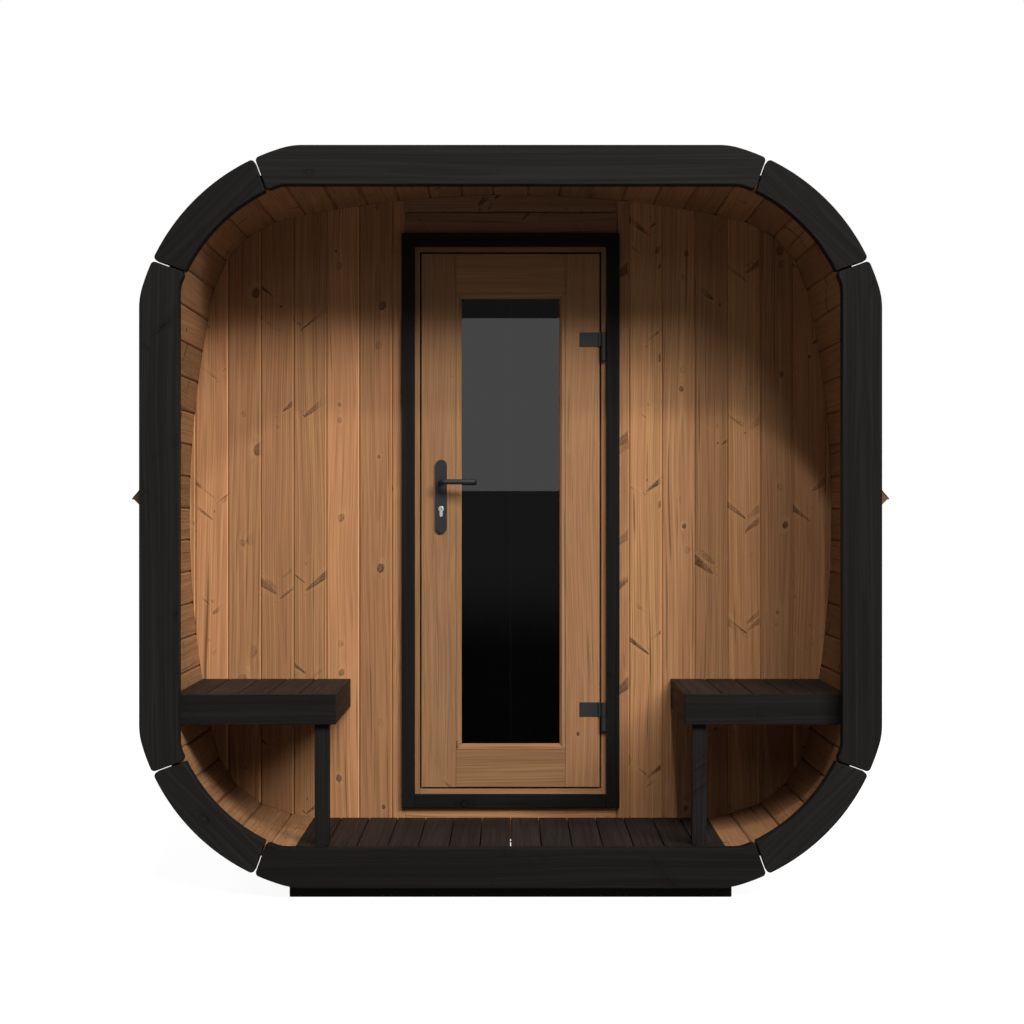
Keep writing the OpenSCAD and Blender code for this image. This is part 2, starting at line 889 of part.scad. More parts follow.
// One mitred bead of a given length along X, standing on z 0
module bead(length, depth) {
    intersection() {
        translate([-length / 2, 0, 0])
            rotate([90, 0, 90])
                linear_extrude(length) bead_section(depth);
        along_y(-depth - 1, 1)
            polygon([
                [-length / 2, 0], [length / 2, 0],
                [length / 2 - bead_w - 1, bead_w + 1], [-length / 2 + bead_w + 1, bead_w + 1]
            ]);
    }
}

// Four mitred beads round the glass, on the front of the plane y 0
module bead_frame(depth) {
    w = 2 * (light_x - glazing_gap);
    h = light_top - light_foot - 2 * glazing_gap;
    translate([0, 0, (light_top + light_foot) / 2])
        for (turn = [0, 180]) {
            rotate([0, turn, 0])
                translate([0, 0, -h / 2]) bead(w - 2 * mitre_gap, depth);
            rotate([0, turn + 90, 0])
                translate([0, 0, -w / 2]) bead(h - 2 * mitre_gap, depth);
        }
}

module glazing_beads_outside() {
    color(door_wood)
        translate([0, glass_y0 - glazing_gap, 0])
            bead_frame(glass_y0 - glazing_gap - leaf_y0 - bead_recess);
}

module glazing_beads_inside() {
    color(door_wood)
        translate([0, glass_y1 + glazing_gap, 0])
            mirror([0, 1, 0])
                bead_frame(leaf_y1 - bead_recess - glass_y1 - glazing_gap);
}

// Hinges, drawn round the axis of the barrels with the joint between the halves at z 0
hinge_x = leaf_x + hinge_offset;
hinge_y = leaf_y0 - hinge_forward;
hinge_joint = 1;
hinge_heights = [leaf_foot + hinge_low, leaf_top - hinge_high];
pin_h = barrel_h * 0.7;
pin_end_play = 3;
web_clear = 3;
web_bite = 2;
pin_wall = 1;
web_y = pin_r - web_bite;

// The lower half: a barrel with its pin, and a web back to the door frame
module hinge_frame_half() {
    cylinder(r = pin_r, h = pin_h);
    translate([0, 0, -barrel_h]) cylinder(r = barrel_r, h = barrel_h);
    translate([-hinge_web_w / 2, web_y, -barrel_h])
        cube([hinge_web_w, hinge_forward - seat_gap - web_y, barrel_h]);
}

// The upper half: a barrel bored for the pin, and a web to the flag plate on the leaf
module hinge_leaf_half() {
    web_x = -hinge_offset - flag_t;
    difference() {
        union() {
            translate([0, 0, hinge_joint]) cylinder(r = barrel_r, h = barrel_h);
            translate([web_x, web_y, hinge_joint])
                cube([-web_x - pin_r - pin_wall, hinge_forward - web_clear - web_y, barrel_h]);
            translate([web_x + flag_t - flag_len, hinge_forward - flag_t, hinge_joint])
                cube([flag_len, flag_t - seat_gap, barrel_h]);
        }
        translate([0, 0, -hinge_joint])
            cylinder(r = pin_r + pin_play, h = pin_h + pin_end_play + hinge_joint);
    }
}

module hinge_frame_halves() {
    color(dark_metal)
        for (z = hinge_heights)
            translate([hinge_x, hinge_y, z]) hinge_frame_half();
}

module hinge_leaf_halves() {
    color(dark_metal)
        for (z = hinge_heights)
            translate([hinge_x, hinge_y, z]) hinge_leaf_half();
}

// A lock plate with round ends, from the leaf's face outwards along -Y
module lock_plate() {
    half_w = plate_w / 2;
    top_z = lever_z + plate_above - half_w;
    foot_z = lever_z + plate_above - plate_len + half_w;
    difference() {
        along_y(-plate_t, 0) {
            translate([lever_x, top_z]) circle(half_w);
            translate([lever_x, foot_z]) circle(half_w);
            translate([lever_x - half_w, foot_z]) square([plate_w, top_z - foot_z]);
        }
        translate([lever_x, 1, lever_z])
            rotate([90, 0, 0]) cylinder(r = neck_r + neck_play, h = plate_t + 2);
        along_y(-plate_t - 1, 1)
            translate([lever_x, cylinder_z]) cylinder_outline(lock_gap);
    }
}

module lock_plate_outside() {
    color(dark_metal) translate([0, leaf_y0 - seat_gap, 0]) lock_plate();
}

module lock_plate_inside() {
    color(dark_metal) translate([0, leaf_y1 + seat_gap, 0]) mirror([0, 1, 0]) lock_plate();
}

module lock_cylinder() {
    proud = plate_t + seat_gap + cylinder_proud;
    color("silver")
        along_y(leaf_y0 - proud, leaf_y1 + proud)
            translate([lever_x, cylinder_z]) cylinder_outline(0);
}

// A lever with its neck, from the plane y 0 of the leaf's face outwards along -Y
module lever() {
    reach = plate_t + lever_reach;
    translate([lever_x, 0, lever_z]) {
        rotate([90, 0, 0]) cylinder(r = neck_r, h = plate_t + neck_proud);
        rotate([90, 0, 0]) cylinder(r = lever_r, h = reach - lever_bend);
        translate([lever_bend, lever_bend - reach, 0])
            rotate(180)
                rotate_extrude(angle = 90) translate([lever_bend, 0]) circle(lever_r);
        translate([lever_bend, -reach, 0])
            rotate([0, 90, 0]) cylinder(r = lever_r, h = lever_len - lever_bend);
    }
}

module lever_outside() {
    socket = spindle + 2 * neck_play;
    socket_d = plate_t + lever_reach / 2;
    color(dark_metal)
        difference() {
            translate([0, leaf_y0 - seat_gap, 0]) lever();
            translate([lever_x - socket / 2, leaf_y0 - socket_d, lever_z - socket / 2])
                cube([socket, socket_d + 1, socket]);
        }
}

module lever_inside() {
    spindle_y = leaf_y0 - plate_t - lever_reach / 4;
    color(dark_metal) {
        translate([0, leaf_y1 + seat_gap, 0]) mirror([0, 1, 0]) lever();
        translate([lever_x - spindle / 2, spindle_y, lever_z - spindle / 2])
            cube([spindle, leaf_y1 + plate_t - spindle_y, spindle]);
    }
}

skids();
staves_floor();
staves_right();
staves_roof();
staves_left();
staves_corners();
shell_bands();
roof_membrane();
drip_battens();
front_ring_top();
front_ring_bottom();
front_ring_left();
front_ring_right();
front_ring_corners();
rear_ring_sides();
rear_ring_corners();
front_wall_left();
front_wall_right();
front_wall_header();
front_wall_sill();
back_wall();
door_frame();
door_trim();
hinge_frame_halves();
porch_deck();
cabin_floor();
floor_joists();
bench_left_slats();
bench_left_frame();
bench_right_slats();
bench_right_frame();
bench_legs();
door_stile_left();
door_stile_right();
door_rail_top();
door_rail_bottom();
door_glass();
glazing_beads_outside();
glazing_beads_inside();
hinge_leaf_halves();
lock_plate_outside();
lock_plate_inside();
lock_cylinder();
lever_outside();
lever_inside();
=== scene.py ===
import json
import math
import random

import bmesh
import bpy
import numpy as np
from bpy.props import FloatProperty, FloatVectorProperty, IntProperty, PointerProperty
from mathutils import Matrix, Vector

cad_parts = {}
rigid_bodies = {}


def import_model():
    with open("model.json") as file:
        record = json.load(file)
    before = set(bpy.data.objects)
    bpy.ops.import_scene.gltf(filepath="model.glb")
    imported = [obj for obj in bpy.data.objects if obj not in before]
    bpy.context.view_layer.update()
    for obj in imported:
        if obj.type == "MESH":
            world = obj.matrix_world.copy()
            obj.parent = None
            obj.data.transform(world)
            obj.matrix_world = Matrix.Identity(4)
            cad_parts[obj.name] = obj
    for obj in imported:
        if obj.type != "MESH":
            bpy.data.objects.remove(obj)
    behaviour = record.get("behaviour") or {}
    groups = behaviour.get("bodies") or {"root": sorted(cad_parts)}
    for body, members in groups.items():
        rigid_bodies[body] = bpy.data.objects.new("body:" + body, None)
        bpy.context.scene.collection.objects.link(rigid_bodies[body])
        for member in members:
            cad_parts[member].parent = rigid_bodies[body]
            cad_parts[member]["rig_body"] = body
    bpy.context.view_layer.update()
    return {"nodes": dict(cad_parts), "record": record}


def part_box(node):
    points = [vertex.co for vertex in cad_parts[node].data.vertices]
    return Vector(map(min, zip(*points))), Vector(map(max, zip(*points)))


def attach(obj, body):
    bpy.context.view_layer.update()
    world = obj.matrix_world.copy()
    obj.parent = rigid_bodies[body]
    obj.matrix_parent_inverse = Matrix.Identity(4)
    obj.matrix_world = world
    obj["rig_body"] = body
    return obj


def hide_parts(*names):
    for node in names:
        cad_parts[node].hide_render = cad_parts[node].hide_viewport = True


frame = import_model()

bl_info = {
    "name": "Sauna Cabin Finish",
    "version": (1, 0, 0),
    "blender": (4, 5, 0),
    "location": "View3D > Sidebar > Sauna Cabin",
    "description": "Finishes the boards, roof, glass and ironmongery of a bulged square sauna cabin",
    "category": "Object",
}

SLOT_OF = {row["node"]: row["material_slot"] for row in frame["record"]["subparts"]}


# Properties

def colour(name, description, default):
    return FloatVectorProperty(
        name=name, description=description, default=default, size=3, subtype="COLOR", min=0.0, max=1.0
    )


def length(name, description, default):
    return FloatProperty(
        name=name, description=description, default=default, min=0.0, unit="LENGTH", precision=4
    )


class CabinSizes(bpy.types.PropertyGroup):
    board_round: length("Board edges", "Rounding of the edges of walls and staves", 0.0012)
    ring_round: length("Ring edges", "Rounding of the edges of the end rings and fascias", 0.003)
    metal_round: length("Metal edges", "Rounding of the edges of plates and hinges", 0.0008)
    fold_round: length("Membrane folds", "Half width of a fold in the roof membrane", 0.022)
    ring_spacing: length("Growth rings", "Distance between two growth rings of the wood", 0.0064)
    whorl_spacing: length("Knot whorls", "Distance between two rings of branches in the log", 0.40)
    seed: IntProperty(name="Seed", description="Chooses how each board is sawn", default=11, min=0)


class CabinColours(bpy.types.PropertyGroup):
    wood_light: colour("Early wood", "Pale stretches of the heat-treated wood", (0.415, 0.218, 0.093))
    wood_dark: colour("Late wood", "Dark growth rings of the heat-treated wood", (0.205, 0.090, 0.036))
    wood_red: colour("Red wood", "Boards that turned redder in the kiln", (0.33, 0.145, 0.067))
    knot: colour("Knots", "Heart of the knots", (0.034, 0.013, 0.007))
    shell_tint: colour("Shell tint", "Tint of the staves over the wood", (0.79, 0.83, 0.87))
    door_tint: colour("Door tint", "Tint of the leaf and its frame over the wood", (0.69, 0.705, 0.74))
    batten_tint: colour("Batten tint", "Tint of the darkened drip battens over the wood", (0.30, 0.32, 0.36))
    # The header colour darkens the boards above the door: painted shade under the porch roof.
    header_painted_shade: colour("Header tint", "Tint of the boards above the door over the wood", (0.56, 0.59, 0.65))
    black_stain: colour("Black stain", "Stain of rings, trim and fascias", (0.0092, 0.0085, 0.0076))
    deck_stain: colour("Deck stain", "Stain of deck boards and slats", (0.0122, 0.0096, 0.0083))
    black_metal: colour("Powder coat", "Lever, lock plates and hinges", (0.0150, 0.0150, 0.0150))
    nickel: colour("Nickel", "Lock cylinder", (0.62, 0.61, 0.59))
    band_steel: colour("Steel bands", "Bands round the shell", (0.50, 0.50, 0.49))
    roof_rubber: colour("Roof membrane", "Rubber sheet over the roof", (0.014, 0.014, 0.0145))
    glass: colour("Glass tint", "What the pane lets through", (0.02, 0.02, 0.0195))


class CabinLight(bpy.types.PropertyGroup):
    front: FloatProperty(name="Front light", description="High light in front", default=640.0, unit="POWER")
    side: FloatProperty(name="Side light", description="Wide light from the right", default=1760.0, unit="POWER")
    right: FloatProperty(name="Right light", description="Light from further right", default=680.0, unit="POWER")
    rear: FloatProperty(name="Rear lights", description="Each light behind", default=260.0, unit="POWER")
    fill: FloatProperty(name="Fill light", description="Wide low light in front", default=60.0, unit="POWER")
    world: FloatProperty(name="Surroundings", description="Light from all round", default=0.06, min=0.0)
    sky: colour("Sky", "Colour of the light from all round", (0.72, 0.90, 1.0))


# Node trees

class Graph:
    """A shader node tree with short calls for the nodes that the finishes use."""

    def __init__(self, tree):
        self.tree = tree

    def feed(self, socket, value):
        if isinstance(value, bpy.types.NodeSocket):
            self.tree.links.new(value, socket)
        elif value is not None:
            socket.default_value = value

    def add(self, kind, *inputs, out=0, **settings):
        """Adds a node, sets its properties, feeds its inputs in order, and returns one of its outputs."""
        made = self.tree.nodes.new(kind)
        for key, value in settings.items():
            setattr(made, key, value)
        for socket, value in zip(made.inputs, inputs):
            self.feed(socket, value)
        return made.outputs[out]

    def math(self, operation, a, b=None, c=None):
        return self.add("ShaderNodeMath", a, b, c, operation=operation)

    def plus(self, a, b):
        return self.math("ADD", a, b)

    def times(self, a, b):
        return self.math("MULTIPLY", a, b)

    def less(self, a, b):
        return self.math("SUBTRACT", a, b)

    def split(self, vector):
        node = self.tree.nodes.new("ShaderNodeSeparateXYZ")
        self.feed(node.inputs[0], vector)
        return list(node.outputs)

    def join(self, x, y, z):
        return self.add("ShaderNodeCombineXYZ", x, y, z)

    def stretch(self, vector, x, y, z):
        return self.add("ShaderNodeVectorMath", vector, (x, y, z), operation="MULTIPLY")

    def noise(self, vector, detail=2.0, roughness=0.5, out=0):
        return self.add("ShaderNodeTexNoise", vector, None, 1.0, detail, roughness, out=out)

    def fade(self, value, low, high, to_low=0.0, to_high=1.0):
        """A smooth step from to_low to to_high as the value goes from low to high."""
        return self.add(
            "ShaderNodeMapRange", value, low, high, to_low, to_high, interpolation_type="SMOOTHSTEP"
        )

    def blend(self, factor, a, b, mode="MIX"):
        """Mixes two colours."""
        node = self.tree.nodes.new("ShaderNodeMix")
        node.data_type = "RGBA"
        node.blend_type = mode
        self.feed(node.inputs[0], factor)
        self.feed(node.inputs[6], a)
        self.feed(node.inputs[7], b)
        return node.outputs[2]

    def attribute(self, name, out=1):
        return self.add("ShaderNodeAttribute", out=out, attribute_name=name)

    def use(self, group, **inputs):
        """Places a node group, feeds its inputs by name and returns its outputs by name."""
        node = self.tree.nodes.new("ShaderNodeGroup")
        node.node_tree = group
        for name, value in inputs.items():
            self.feed(node.inputs[name.replace("_", " ")], value)
        return node.outputs


def start_group(name, inputs, outputs):
    """A node group with named float or vector inputs and float outputs: its graph, inputs and outputs."""
    tree = bpy.data.node_groups.new(name, "ShaderNodeTree")
    for label, value in inputs.items():
        kind = "NodeSocketVector" if value is None else "NodeSocketFloat"
        socket = tree.interface.new_socket(label, in_out="INPUT", socket_type=kind)
        if value is not None:
            socket.default_value = value
    for label in outputs:
        tree.interface.new_socket(label, in_out="OUTPUT", socket_type="NodeSocketFloat")
    given = tree.nodes.new("NodeGroupInput").outputs
    wanted = tree.nodes.new("NodeGroupOutput").inputs
    return Graph(tree), given, wanted


def solid_colour(rgb):
    return (*rgb, 1.0)


def start_material(name):
    """A material with a Principled shader: the material, its graph and the shader's inputs."""
    made = bpy.data.materials.new(name)
    made.use_nodes = True
    shader = made.node_tree.nodes["Principled BSDF"]
    return made, Graph(made.node_tree), shader.inputs


# Shared effects

def log_grain():
    """Wood as it lies in the log, from a place along the pith and two distances from it, in metres."""
    name = "log_grain"
    if name in bpy.data.node_groups:
        return bpy.data.node_groups[name]
    sizes = bpy.context.scene.cabin_sizes
    g, given, wanted = start_group(
        name,
        {
            "Grain": None,
            "Seed": 0.0,
            "Ring Spacing": sizes.ring_spacing,
            "Whorl Spacing": sizes.whorl_spacing,
            "Branches": 4.0,
            "Knot Share": 0.5,
        },
        ["Late Wood", "Fibre", "Band", "Patch", "Streak", "Knot", "Rim", "Halo", "Height"],
    )
    along, across, deep = g.split(given["Grain"])

    # The pith wanders a little along the log
    sway = g.split(g.noise(g.join(g.times(along, 1.1), g.times(given["Seed"], 37.0), 0.5), 1.0, out=1))
    across = g.plus(across, g.times(g.less(sway[0], 0.5), 0.05))
    deep = g.plus(deep, g.times(g.less(sway[1], 0.5), 0.02))
    radius = g.math("SQRT", g.plus(g.times(across, across), g.times(deep, deep)))
    angle = g.math("ARCTAN2", deep, across)
    place = g.join(along, across, deep)

    # Branches leave the pith in whorls and slope up as they grow outwards
    slope, cosine = 0.8, 0.78
    height = g.less(along, g.times(radius, slope))
    step = g.math("DIVIDE", height, given["Whorl Spacing"])
    whorl = g.math("FLOOR", step)
    turn = g.plus(
        g.times(g.math("DIVIDE", angle, 2 * math.pi), given["Branches"]),
        g.plus(g.times(g.add("ShaderNodeTexWhiteNoise", g.join(whorl, given["Seed"], 3.0)), 0.3), 0.35),
    )
    branch = g.math("FLOORED_MODULO", g.math("FLOOR", turn), given["Branches"])
    chance = g.split(g.add("ShaderNodeTexWhiteNoise", g.join(whorl, branch, given["Seed"]), out=1))
    shift = g.add("ShaderNodeTexWhiteNoise", g.join(whorl, 9.0, given["Seed"]))
    rise = g.plus(g.times(g.less(shift, 0.5), 0.5), g.times(g.less(chance[2], 0.5), 0.16))
    level = g.times(g.less(g.less(g.less(step, whorl), 0.5), rise), given["Whorl Spacing"])
    sweep = g.plus(g.less(g.math("FRACT", turn), 0.5), g.times(g.less(chance[1], 0.5), 0.3))
    aside = g.times(g.times(sweep, g.math("DIVIDE", 2 * math.pi, given["Branches"])), radius)
    level = g.times(level, cosine)
    distance = g.math("SQRT", g.plus(g.times(level, level), g.times(aside, aside)))
    girth = g.plus(0.0034, g.times(g.math("MINIMUM", radius, 0.075), 0.12))
    girth = g.times(girth, g.fade(chance[1], 0.0, 1.0, 0.45, 1.15))
    ragged = g.plus(1.0, g.times(g.less(g.noise(g.stretch(place, 120.0, 160.0, 160.0)), 0.5), 0.35))
    near = g.times(g.math("DIVIDE", distance, girth), ragged)
    there = g.math("LESS_THAN", chance[0], given["Knot Share"])
    knot = g.times(there, g.fade(near, 0.86, 1.0, 1.0, 0.0))
    rim = g.times(there, g.times(g.fade(near, 0.6, 0.95), g.fade(near, 1.0, 1.35, 1.0, 0.0)))
    rim = g.times(rim, g.fade(level, -0.001, 0.001, 1.0, 0.5))
    halo = g.times(there, g.fade(near, 0.9, 3.6, 1.0, 0.0))
    hatch = g.fade(g.noise(g.stretch(place, 330.0, 330.0, 330.0), 1.0), 0.42, 0.58, 0.6, 1.0)

    # Growth rings, of uneven width, that flow round the knots
    bend = g.times(g.times(halo, halo), 0.009)
    slow = g.noise(g.stretch(place, 0.9, 9.0, 9.0), 1.0)
    rings = g.plus(g.math("DIVIDE", g.less(radius, bend), given["Ring Spacing"]), g.times(slow, 3.0))
    rings = g.plus(rings, g.times(g.noise(g.join(g.times(rings, 0.45), given["Seed"], 7.0), 0.0), 1.6))
    phase = g.math("FRACT", rings)
    late = g.times(g.fade(phase, 0.25, 0.86), g.fade(phase, 0.93, 1.0, 1.0, 0.0))
    inside = g.times(knot, g.fade(g.math("FRACT", g.times(near, 5.0)), 0.2, 0.8))

    # Streaks along the fibres, from fine to broad
    fibre = g.noise(g.stretch(place, 3.0, 240.0, 240.0), 2.0, 0.6)
    band = g.noise(g.stretch(place, 0.9, 95.0, 95.0), 2.0, 0.6)
    patch = g.noise(g.stretch(place, 1.1, 24.0, 24.0), 1.0)
    streak = g.fade(g.noise(g.stretch(place, 1.6, 150.0, 150.0), 1.0), 0.68, 0.76)

    values = {
        "Late Wood": g.math("MAXIMUM", g.times(late, g.less(1.0, knot)), g.times(inside, 0.6)),
        "Fibre": fibre,
        "Band": band,
        "Patch": patch,
        "Streak": streak,
        "Knot": g.times(knot, hatch),
        "Rim": rim,
        "Halo": g.times(halo, g.less(1.0, knot)),
        "Height": g.less(g.plus(g.times(fibre, 0.5), g.times(late, 0.35)), g.plus(g.times(streak, 0.5), rim)),
    }
    for label, value in values.items():
        g.feed(wanted[label], value)
    return g.tree


def speckle():
    """The fine orange peel of a coat or a rolled sheet, with slow unevenness."""
    name = "speckle"
    if name in bpy.data.node_groups:
        return bpy.data.node_groups[name]
    g, given, wanted = start_group(name, {"Place": None, "Grains": 900.0}, ["Fine", "Slow"])
    fine = g.add("ShaderNodeTexNoise", given["Place"], None, given["Grains"], 2.0, 0.55)
    g.feed(wanted["Fine"], fine)
    g.feed(wanted["Slow"], g.add("ShaderNodeTexNoise", given["Place"], None, 9.0, 3.0, 0.5))
    return g.tree


# Finishes

def feed_bump(g, target, height, strength, depth):
    """Feeds a height in metres into a shader's Normal."""
    node = g.tree.nodes.new("ShaderNodeBump")
    node.inputs["Strength"].default_value = strength
    node.inputs["Distance"].default_value = depth
    g.feed(node.inputs["Height"], height)
    g.feed(target, node.outputs[0])


def warm_wood(name, tint, knot_share, figure=1.0, painted_highlight=0.0):
    """Oiled heat-treated softwood, with rings, knots and boards of different tone.

    Figure scales the contrast of the rings, and the last argument paints a highlight on the bevels that face right,
    where the light from the right falls.
    """
    colours = bpy.context.scene.cabin_colours
    made, g, shader = start_material(name)
    red, tone, seed = g.split(g.attribute("board"))
    wood = g.use(log_grain(), Grain=g.attribute("grain"), Seed=seed, Knot_Share=knot_share)
    light, dark = solid_colour(colours.wood_light), solid_colour(colours.wood_dark)
    base = g.blend(g.times(wood["Late Wood"], 0.5 * figure), light, dark)
    base = g.blend(g.fade(wood["Band"], 0.34, 0.68, 0.5 * figure, 0.0), base, dark)
    base = g.blend(g.fade(wood["Fibre"], 0.5, 0.75, 0.0, 0.35), base, solid_colour(colours.wood_red))
    base = g.blend(g.fade(wood["Patch"], 0.35, 0.75, 0.0, 0.5), base, solid_colour(colours.wood_red))
    base = g.blend(g.times(red, 0.5), base, solid_colour(colours.wood_red))
    base = g.blend(g.times(wood["Halo"], 0.4), base, light)
    base = g.blend(g.times(wood["Streak"], 0.75 * figure), base, solid_colour([0.4 * c for c in colours.wood_dark]))
    base = g.blend(g.times(wood["Rim"], 0.9), base, solid_colour([0.5 * c for c in colours.knot]))
    base = g.blend(g.times(wood["Knot"], 0.95), base, g.blend(
        wood["Late Wood"], solid_colour([1.7 * c for c in colours.knot]), solid_colour(colours.knot)))
    base = g.blend(1.0, base, g.fade(wood["Fibre"], 0.25, 0.75, 0.80, 1.16), "MULTIPLY")
    if painted_highlight > 0.0:
        # Painted highlight: bevels that face right are lightened as if lit by the light from the right.
        sideways = g.split(g.add("ShaderNodeNewGeometry", out=1))[0]
        bevel = g.times(g.fade(sideways, 0.3, 0.6), g.fade(sideways, 0.85, 0.95, 1.0, 0.0))
        base = g.blend(g.times(bevel, painted_highlight), base, solid_colour([1.5 * c for c in colours.wood_light]))
    base = g.blend(1.0, base, g.fade(tone, 0.0, 1.0, 0.84, 1.16), "MULTIPLY")
    g.feed(shader["Base Color"], g.blend(1.0, base, solid_colour(tint), "MULTIPLY"))
    g.feed(shader["Roughness"], g.fade(wood["Band"], 0.2, 0.8, 0.52, 0.66))
    shader["Specular IOR Level"].default_value = 0.12
    feed_bump(g, shader["Normal"], wood["Height"], 0.5, 0.0004)
    return made


def stained_wood(name, stain, lift, shine, specular):
    """Softwood under an even stain, where the grain shows only faintly."""
    made, g, shader = start_material(name)
    tone, seed = g.split(g.attribute("board"))[1:]
    wood = g.use(log_grain(), Grain=g.attribute("grain"), Seed=seed, Knot_Share=0.45)
    raised = solid_colour([lift * c for c in stain])
    base = g.blend(g.fade(wood["Band"], 0.35, 0.7), solid_colour(stain), raised)
    base = g.blend(g.times(wood["Late Wood"], 0.4), base, solid_colour([0.6 * c for c in stain]))
    base = g.blend(g.times(wood["Halo"], 0.4), base, solid_colour([0.65 * c for c in stain]))
    base = g.blend(wood["Rim"], base, solid_colour([0.35 * c for c in stain]))
    g.feed(shader["Base Color"], g.blend(1.0, base, g.fade(tone, 0.0, 1.0, 0.82, 1.2), "MULTIPLY"))
    g.feed(shader["Roughness"], g.fade(wood["Fibre"], 0.2, 0.8, shine, shine + 0.16))
    shader["Specular IOR Level"].default_value = specular
    feed_bump(g, shader["Normal"], wood["Height"], 0.6, 0.0004)
    return made


def coated(name, paint, grains, relief, shine, metallic=0.0, specular=0.5):
    """A powder coat, a rubber sheet or a satin metal with a fine even texture."""
    made, g, shader = start_material(name)
    spots = g.use(speckle(), Place=g.add("ShaderNodeTexCoord", out=3), Grains=grains)
    base = g.blend(g.fade(spots["Slow"], 0.3, 0.7), solid_colour(paint), solid_colour([1.25 * c for c in paint]))
    g.feed(shader["Base Color"], base)
    g.feed(shader["Roughness"], g.fade(spots["Fine"], 0.25, 0.75, shine, shine + 0.12))
    shader["Metallic"].default_value = metallic
    shader["Specular IOR Level"].default_value = specular
    feed_bump(g, shader["Normal"], spots["Fine"], 0.35, relief)
    return made


def brushed_steel(name, steel):
    """Rolled steel with lines that run along the band."""
    made, g, shader = start_material(name)
    place = g.add("ShaderNodeTexCoord", out=3)
    lines = g.noise(g.stretch(place, 6.0, 2600.0, 6.0), 3.0)
    slow = g.noise(g.stretch(place, 5.0, 30.0, 5.0), 3.0)
    g.feed(shader["Base Color"], g.blend(
        g.fade(slow, 0.3, 0.7), solid_colour(steel), solid_colour([0.72 * c for c in steel])))
    g.feed(shader["Roughness"], g.fade(lines, 0.25, 0.75, 0.26, 0.42))
    shader["Metallic"].default_value = 1.0
    feed_bump(g, shader["Normal"], lines, 0.25, 0.0001)
    return made


def tinted_glass(name, tint):
    """Dark toughened glass, with a faint film of wiped dust."""
    made, g, shader = start_material(name)
    film = g.noise(g.stretch(g.add("ShaderNodeTexCoord", out=3), 3.0, 3.0, 7.0), 4.0, 0.6)
    g.feed(shader["Base Color"], g.blend(
        g.fade(film, 0.3, 0.8), solid_colour(tint), solid_colour([1.15 * c for c in tint])))
    g.feed(shader["Roughness"], g.fade(film, 0.4, 0.9, 0.0, 0.03))
    shader["Transmission Weight"].default_value = 1.0
    shader["IOR"].default_value = 1.62
    return made


def finish(slot):
    """The material of one of the record's slots, made when it is first wanted."""
    name = slot + "_finish"
    if name in bpy.data.materials:
        return bpy.data.materials[name]
    colours = bpy.context.scene.cabin_colours
    if slot == "shell_wood":
        return warm_wood(name, colours.shell_tint, 0.85)
    if slot == "wall_wood":
        # The wall boards get a painted highlight on their right-facing bevels.
        return warm_wood(name, (1.0, 1.0, 1.0), 0.85, painted_highlight=0.4)
    if slot == "door_wood":
        return warm_wood(name, colours.door_tint, 0.12, figure=0.55)
    if slot == "black_stain":
        return stained_wood(name, colours.black_stain, 1.5, 0.42, 0.03)
    if slot == "deck_stain":
        return stained_wood(name, colours.deck_stain, 1.7, 0.5, 0.08)
    if slot == "black_metal":
        return coated(name, colours.black_metal, 1400.0, 0.00006, 0.36, specular=0.2)
    if slot == "nickel":
        return coated(name, colours.nickel, 2200.0, 0.00002, 0.24, metallic=1.0)
    if slot == "roof_rubber":
        return coated(name, colours.roof_rubber, 420.0, 0.0002, 0.6, specular=0.3)
    if slot == "band_steel":
        return brushed_steel(name, colours.band_steel)
    if slot == "tinted_glass":
        return tinted_glass(name, colours.glass)
    raise ValueError(f"no finish is made for the slot {slot}")


# Meshes

WELD = 0.0002
FLAT = math.radians(0.3)

# Share of the boards that are sawn close beside the pith, which then lies near the face that shows
NEAR_PITH = 0.7

# Middle of the shell, which the shown faces of the staves look at
AXIS = (Vector(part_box("staves_left")[0]) + Vector(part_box("staves_right")[1])) / 2


def merged(node, flat=True):
    """A CAD node's mesh with its corners welded, and its triangles merged into flat faces if they may be."""
    bm = bmesh.new()
    bm.from_mesh(frame["nodes"][node].data)
    bmesh.ops.remove_doubles(bm, verts=bm.verts, dist=WELD)
    if flat:
        bmesh.ops.dissolve_limit(bm, angle_limit=FLAT, verts=bm.verts, edges=bm.edges)
    return bm


def solids(bm):
    """The vertices of each separate solid, in the order of the solids' places."""
    bm.verts.ensure_lookup_table()
    bm.verts.index_update()
    seen = [False] * len(bm.verts)
    found = []
    for start in bm.verts:
        if seen[start.index]:
            continue
        seen[start.index] = True
        solid = [start]
        for vert in solid:
            for edge in vert.link_edges:
                other = edge.other_vert(vert)
                if not seen[other.index]:
                    seen[other.index] = True
                    solid.append(other)
        found.append(solid)
    return sorted(found, key=lambda solid: tuple(round(sum(v.co[i] for v in solid) / len(solid), 4) for i in range(3)))


